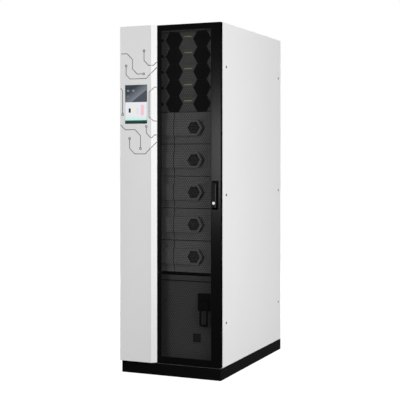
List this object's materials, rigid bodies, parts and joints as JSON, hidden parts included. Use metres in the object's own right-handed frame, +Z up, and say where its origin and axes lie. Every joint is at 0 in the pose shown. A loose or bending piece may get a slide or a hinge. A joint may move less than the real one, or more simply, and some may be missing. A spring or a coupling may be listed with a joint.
{
  "type": "modular ups cabinet",
  "caption": "Tall uninterruptible power supply cabinet with rack power modules and battery drawers behind a perforated door, a display cover and a swing handle.",
  "frame": {"origin": "floor level, at the middle of the whole cabinet's footprint with its door shut", "axes": "+X to the cabinet's right seen from the front, +Y to its back, +Z up"},
  "size_m": [0.6, 1.017, 1.94],
  "materials": {
    "white_panel": "satin powder coat",
    "white_cover": "satin powder coat",
    "black_plinth": "satin powder coat",
    "black_door": "satin powder coat",
    "black_mesh": "satin powder coat",
    "frame_grey": "satin powder coat",
    "zinc_steel": "zinc plated",
    "module_black": "matt",
    "module_grey": "fine grain",
    "status_light": "lit light pipe",
    "knob_black": "fine grain",
    "drawer_grey": "satin powder coat",
    "lower_grey": "satin powder coat",
    "switch_black": "fine grain",
    "screen_glass": "touch glass",
    "handle_black": "satin",
    "lock_chrome": "polished"
  },
  "bodies": {
    "cabinet": {"left_side_panel": "white_panel", "right_side_panel": "white_panel", "rear_panel": "white_panel", "roof_panel": "white_panel", "plinth_front": "black_plinth", "plinth_rear": "black_plinth", "plinth_left": "black_plinth", "plinth_right": "black_plinth", "base_plate": "frame_grey", "front_left_post": "frame_grey", "front_right_post": "frame_grey", "header_rail": "frame_grey", "sill_rail": "frame_grey", "mounting_rails": "zinc_steel", "hinge_brackets": "zinc_steel", "power_module_1": "module_black", "power_module_2": "module_black", "power_module_3": "module_black", "power_module_4": "module_black", "power_module_5": "module_black", "battery_shelves": "module_black", "module_trim_1": "module_grey", "module_trim_2": "module_grey", "module_trim_3": "module_grey", "module_trim_4": "module_grey", "module_trim_5": "module_grey", "status_lights": "status_light", "module_locks": "knob_black", "drawer_inserts": "knob_black", "battery_drawer_1_left": "drawer_grey", "battery_drawer_1_right": "drawer_grey", "battery_drawer_2_left": "drawer_grey", "battery_drawer_2_right": "drawer_grey", "battery_drawer_3_left": "drawer_grey", "battery_drawer_3_right": "drawer_grey", "battery_drawer_4_left": "drawer_grey", "battery_drawer_4_right": "drawer_grey", "battery_drawer_5_left": "drawer_grey", "battery_drawer_5_right": "drawer_grey", "lower_cover": "lower_grey", "bypass_switch": "switch_black"},
    "door": {"door_frame": "black_door", "door_mesh": "black_mesh", "display_cover": "white_cover", "touch_screen": "screen_glass", "door_hinges": "zinc_steel", "handle_dish": "handle_black"},
    "handle_lever": {"handle_lever": "handle_black", "lock_cylinder": "lock_chrome"},
    "bypass_grip": {"bypass_handle": "switch_black"}
  },
  "joints": [
    {"name": "door_hinge", "type": "hinge", "parent": "cabinet", "child": "door", "pos_m": [-0.291, -0.4755, 1], "axis": [0, 0, -1], "range_deg": [0, 120]},
    {"name": "handle_lift", "type": "hinge", "parent": "door", "child": "handle_lever", "pos_m": [0.268, -0.4945, 1.065], "axis": [-1, 0, 0], "range_deg": [0, 40]},
    {"name": "bypass_turn", "type": "hinge", "parent": "cabinet", "child": "bypass_grip", "pos_m": [0.187, -0.4535, 0.413], "axis": [0, 1, 0], "range_deg": [0, 90]}
  ]
}
